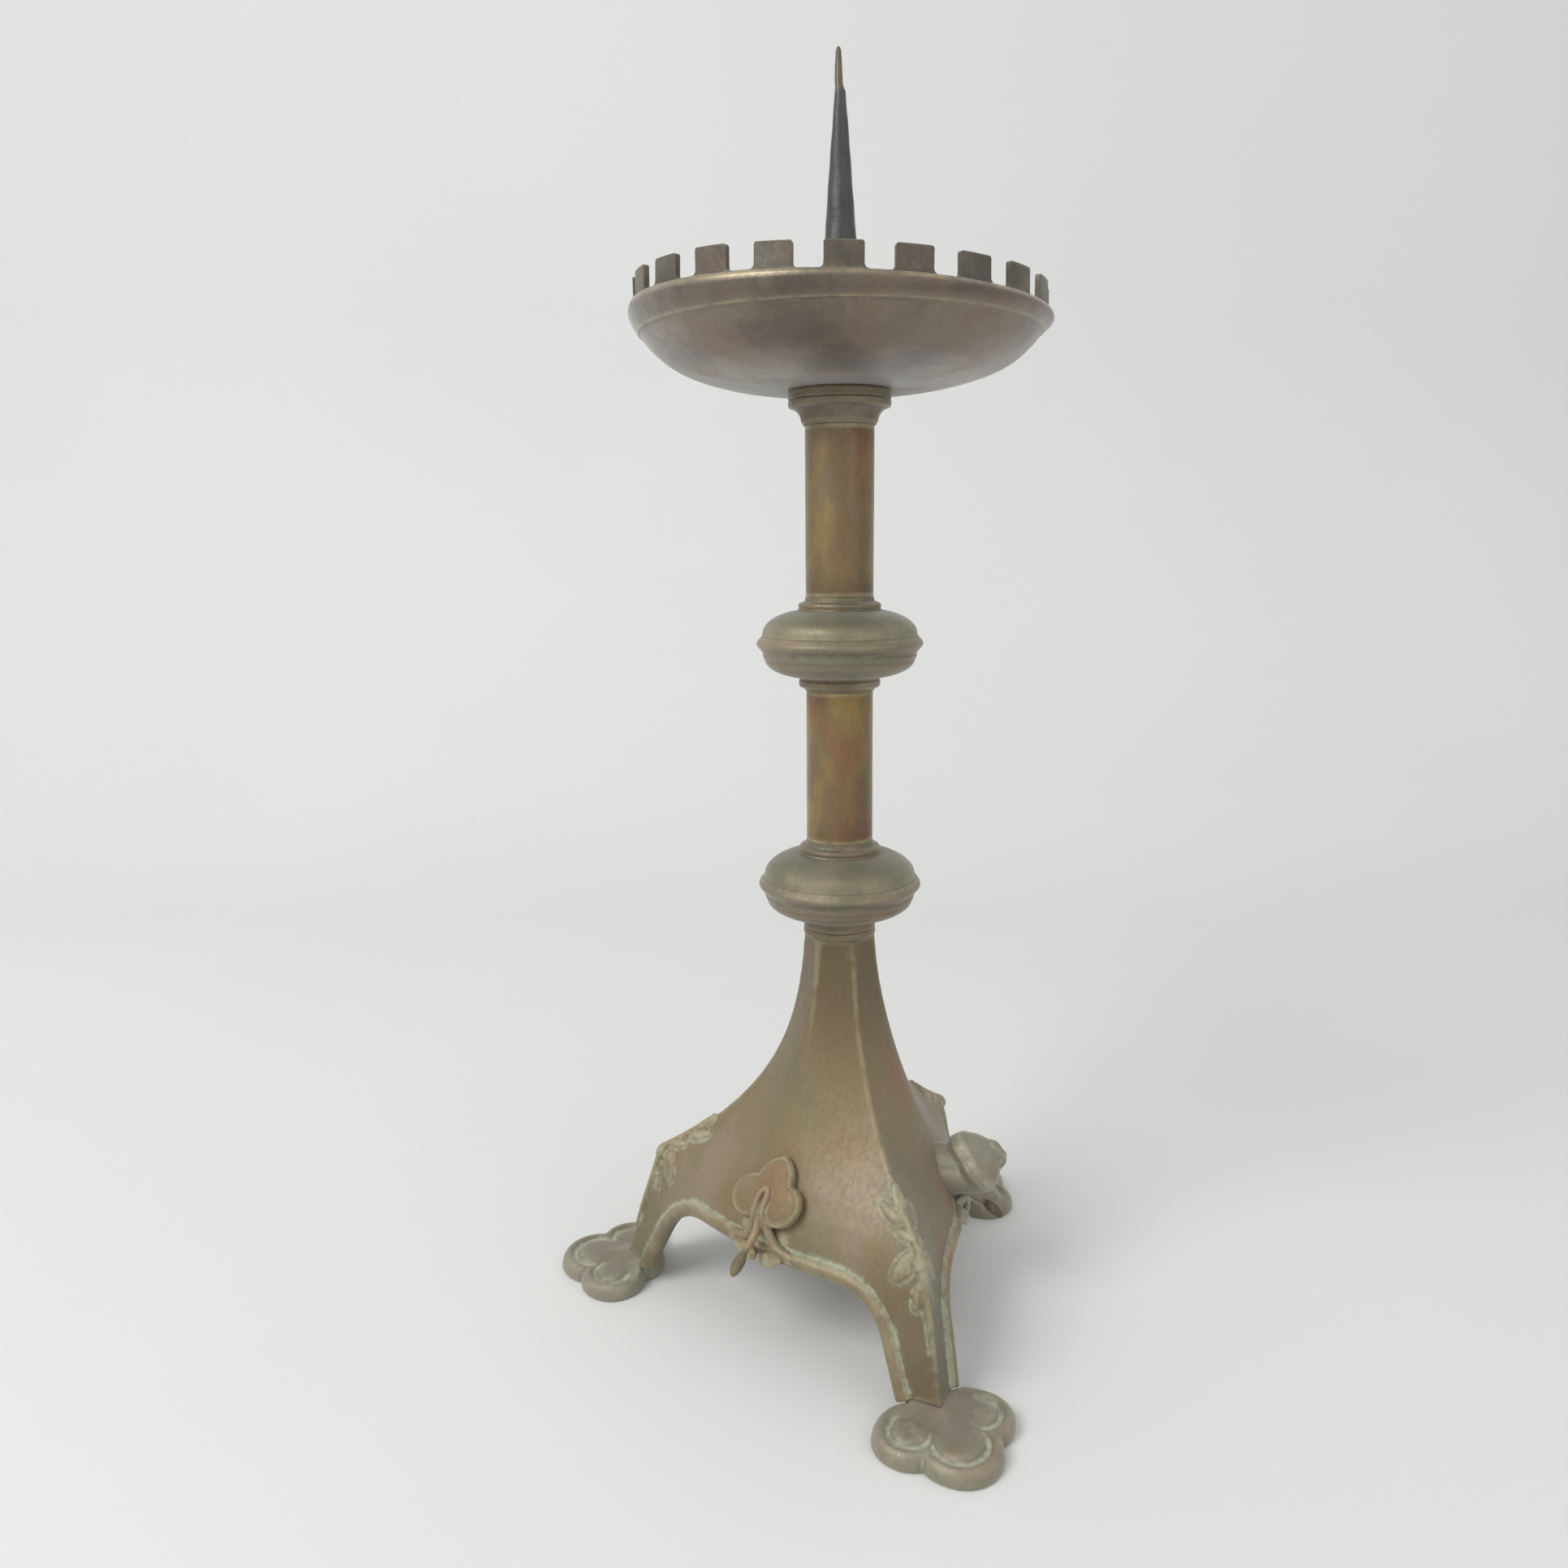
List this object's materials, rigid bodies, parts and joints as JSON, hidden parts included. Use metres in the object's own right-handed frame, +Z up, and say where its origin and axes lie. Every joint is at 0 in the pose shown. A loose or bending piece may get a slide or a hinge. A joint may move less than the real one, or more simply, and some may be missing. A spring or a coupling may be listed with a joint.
{
  "type": "pricket candle stand",
  "caption": "Tripod pricket candle stand: arched base on trefoil feet, tubular stem with ringed knops, and a battlemented drip pan that lifts off over an iron spike.",
  "frame": {"origin": "on the stem axis at floor level, midway between the three feet", "axes": "+Z up along the stem, the front leg along -Y, +X to the right seen from the front leg"},
  "size_m": [0.1794, 0.1654, 0.4],
  "materials": {
    "cast_brass": "cast, satin, brown-olive patina with pale verdigris in the hollows",
    "turned_brass": "turned, satin, brown-olive patina",
    "spun_brass": "spun, satin, taupe-brown patina",
    "tube_brass": "drawn tube, satin, golden with reddish-brown patches",
    "strip_brass": "cut strip, satin, dull brown patina",
    "forged_iron": "forged, dark, thin rust",
    "iron_hardware": "plain, dull"
  },
  "bodies": {
    "stand": {"tripod_base": "cast_brass", "foot_front": "cast_brass", "foot_right": "cast_brass", "foot_left": "cast_brass", "apron_leaf_right": "cast_brass", "apron_leaf_back": "cast_brass", "apron_leaf_left": "cast_brass", "leaf_rivets": "turned_brass", "neck_ring": "turned_brass", "lower_knop_bottom_collar": "turned_brass", "lower_knop_bowl": "spun_brass", "lower_knop_dome": "spun_brass", "lower_knop_top_collar": "turned_brass", "lower_tube": "tube_brass", "upper_knop_bottom_collar": "turned_brass", "upper_knop_bowl": "spun_brass", "upper_knop_dome": "spun_brass", "upper_knop_top_collar": "turned_brass", "upper_tube": "tube_brass", "capital": "turned_brass", "tie_rod": "iron_hardware", "base_washer": "iron_hardware", "base_nut": "iron_hardware", "pricket": "forged_iron"},
    "pan": {"drip_pan": "spun_brass", "gallery": "strip_brass"}
  },
  "joints": [
    {"name": "pan_lift", "type": "slide", "parent": "stand", "child": "pan", "axis": [0, 0, 1], "range_m": [0, 0.1]}
  ]
}
